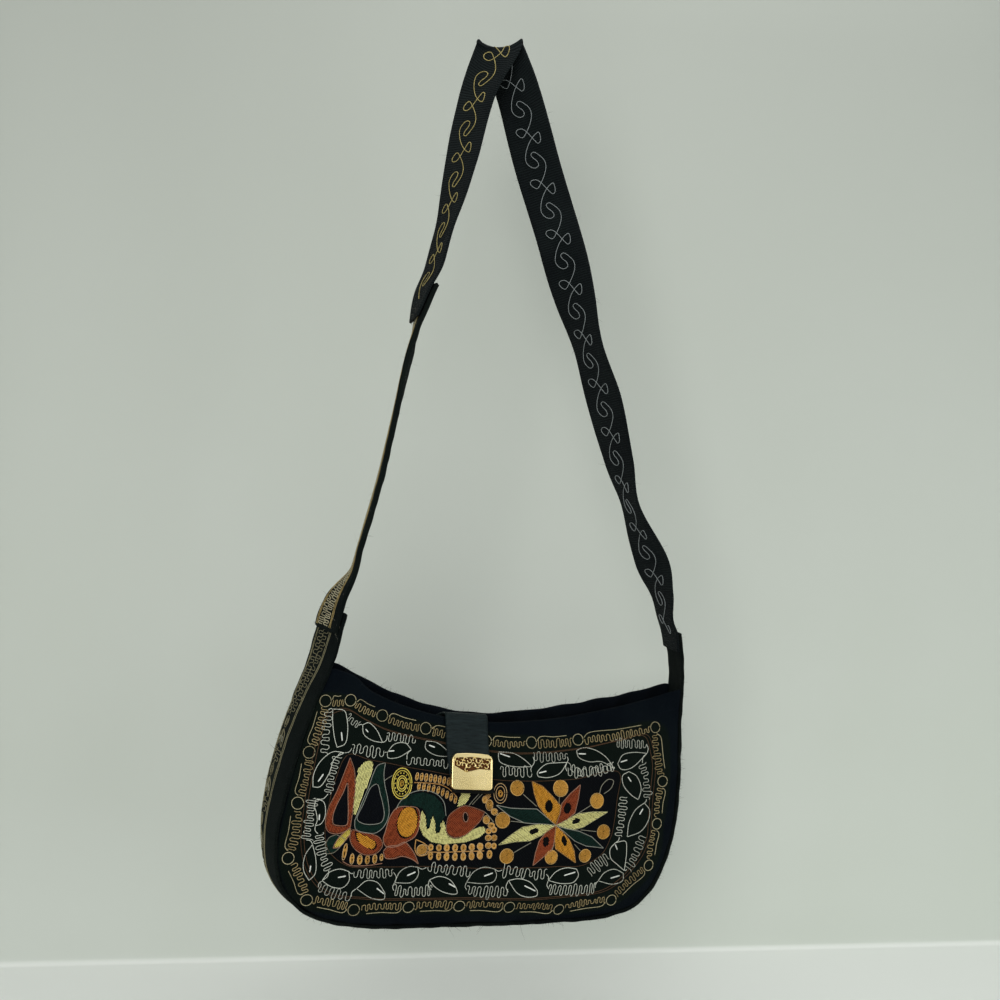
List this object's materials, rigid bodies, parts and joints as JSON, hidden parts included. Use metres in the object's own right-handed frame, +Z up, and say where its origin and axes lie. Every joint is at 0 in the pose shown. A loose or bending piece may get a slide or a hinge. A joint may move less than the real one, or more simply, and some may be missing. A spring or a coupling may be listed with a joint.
{
  "type": "embroidered shoulder handbag",
  "caption": "Soft cloth shoulder handbag with curved open mouth, embroidered front, gusset running into a flat strap, and a short tab with a cast metal plate, hanging by its strap.",
  "frame": {"origin": "where the hook's wire bears on the inner face of the strap, at the top of its loop", "axes": "+Z up, -Y the bag's embroidered front, +X to the right seen from the front"},
  "size_m": [0.3155, 0.0697, 0.6424],
  "materials": {
    "front_cloth": "black cloth, densely chain-stitched and satin-stitched in olive, white, rust, orange, cream and green thread",
    "back_cloth": "plain black cloth with a hemmed rim",
    "gusset_cloth": "black cloth strip, embroidered between two double lines, with plain margins and a fuzzy edge",
    "tab_leather": "slate-black grained strip, worn matt",
    "clasp_metal": "pale gold plate, polished below, bronzed relief above",
    "stud_metal": "plain plated stud",
    "strap_webbing": "black ribbed webbing with a chain-stitched vine",
    "extension_cloth": "doubled embroidered strip with raw fuzzy edges"
  },
  "bodies": {
    "root": {"front_panel": "front_cloth", "back_panel": "back_cloth", "gusset": "gusset_cloth", "closure_tab": "tab_leather", "clasp_plate": "clasp_metal", "snap_stud": "stud_metal", "strap_webbing": "strap_webbing", "strap_extension": "extension_cloth"}
  },
  "joints": []
}
